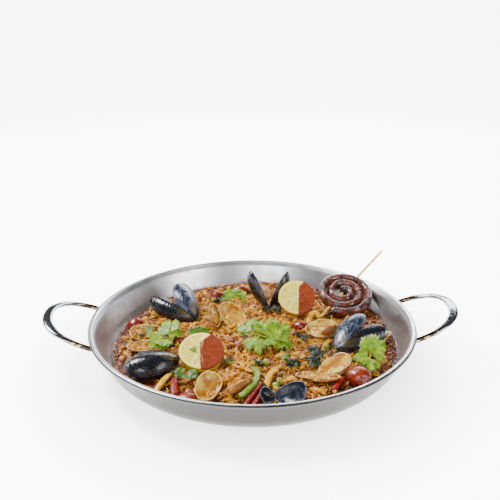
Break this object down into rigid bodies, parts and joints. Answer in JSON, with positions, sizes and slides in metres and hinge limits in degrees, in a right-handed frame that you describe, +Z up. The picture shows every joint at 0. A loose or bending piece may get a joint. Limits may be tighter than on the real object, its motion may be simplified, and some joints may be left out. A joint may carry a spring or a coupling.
{
  "type": "paella",
  "caption": "Shallow round steel pan with loop handles, filled with saffron rice, open mussels, clams, lemon halves, tomatoes, pepper strips and a coiled sausage on a skewer.",
  "frame": {"origin": "on the floor under the middle of the pan's flat base", "axes": "+X towards one handle, +Y away from the cook towards the pan's back, +Z up"},
  "size_m": [0.4558, 0.36, 0.0686],
  "materials": {
    "pan_steel": "brushed, satin",
    "handle_steel": "polished",
    "rice": "moist, slightly glossy",
    "mussel_shell": "glossy black outside, blue-white inside",
    "clam_shell": "satin, cream inside",
    "lemon": "moist flesh, waxy rind",
    "sausage": "grilled, oily",
    "bamboo": "bare, split bamboo",
    "tomato": "roasted skin, glossy",
    "red_pepper": "oily skin",
    "green_food": "moist skin and leaf",
    "yellow_food": "oily, tender",
    "ham": "moist cut meat"
  },
  "bodies": {
    "root": {"pan_body": "pan_steel", "handle_left": "handle_steel", "handle_right": "handle_steel", "rice_bed": "rice", "sausage_coil": "sausage", "skewer": "bamboo", "lemon_left": "lemon", "lemon_back": "lemon", "mussel_closed": "mussel_shell", "mussel_back_left": "mussel_shell", "mussel_right": "mussel_shell", "mussel_upright": "mussel_shell", "mussel_front": "mussel_shell", "clam_left": "clam_shell", "clam_left_low": "clam_shell", "clam_back_left": "clam_shell", "clam_right_back": "clam_shell", "clam_right_front": "clam_shell", "clam_front": "clam_shell", "clam_small": "clam_shell", "tomato_right": "tomato", "tomato_front": "tomato", "tomato_left": "tomato", "tomato_back": "tomato", "tomato_back_left": "tomato", "tomato_middle": "tomato", "tomato_mid_left": "tomato", "pepper_red_left": "red_pepper", "pepper_red_front_a": "red_pepper", "pepper_red_front_b": "red_pepper", "pepper_red_right": "red_pepper", "pepper_green": "green_food", "pepper_yellow_front": "yellow_food", "pepper_yellow_left": "yellow_food", "pepper_orange_right": "yellow_food", "squid_back": "yellow_food", "squid_front": "yellow_food", "ham_die_a": "ham", "ham_die_b": "ham", "pea_1": "green_food", "pea_2": "green_food", "pea_3": "green_food", "pea_4": "green_food", "pea_5": "green_food", "pea_6": "green_food"}
  },
  "joints": []
}
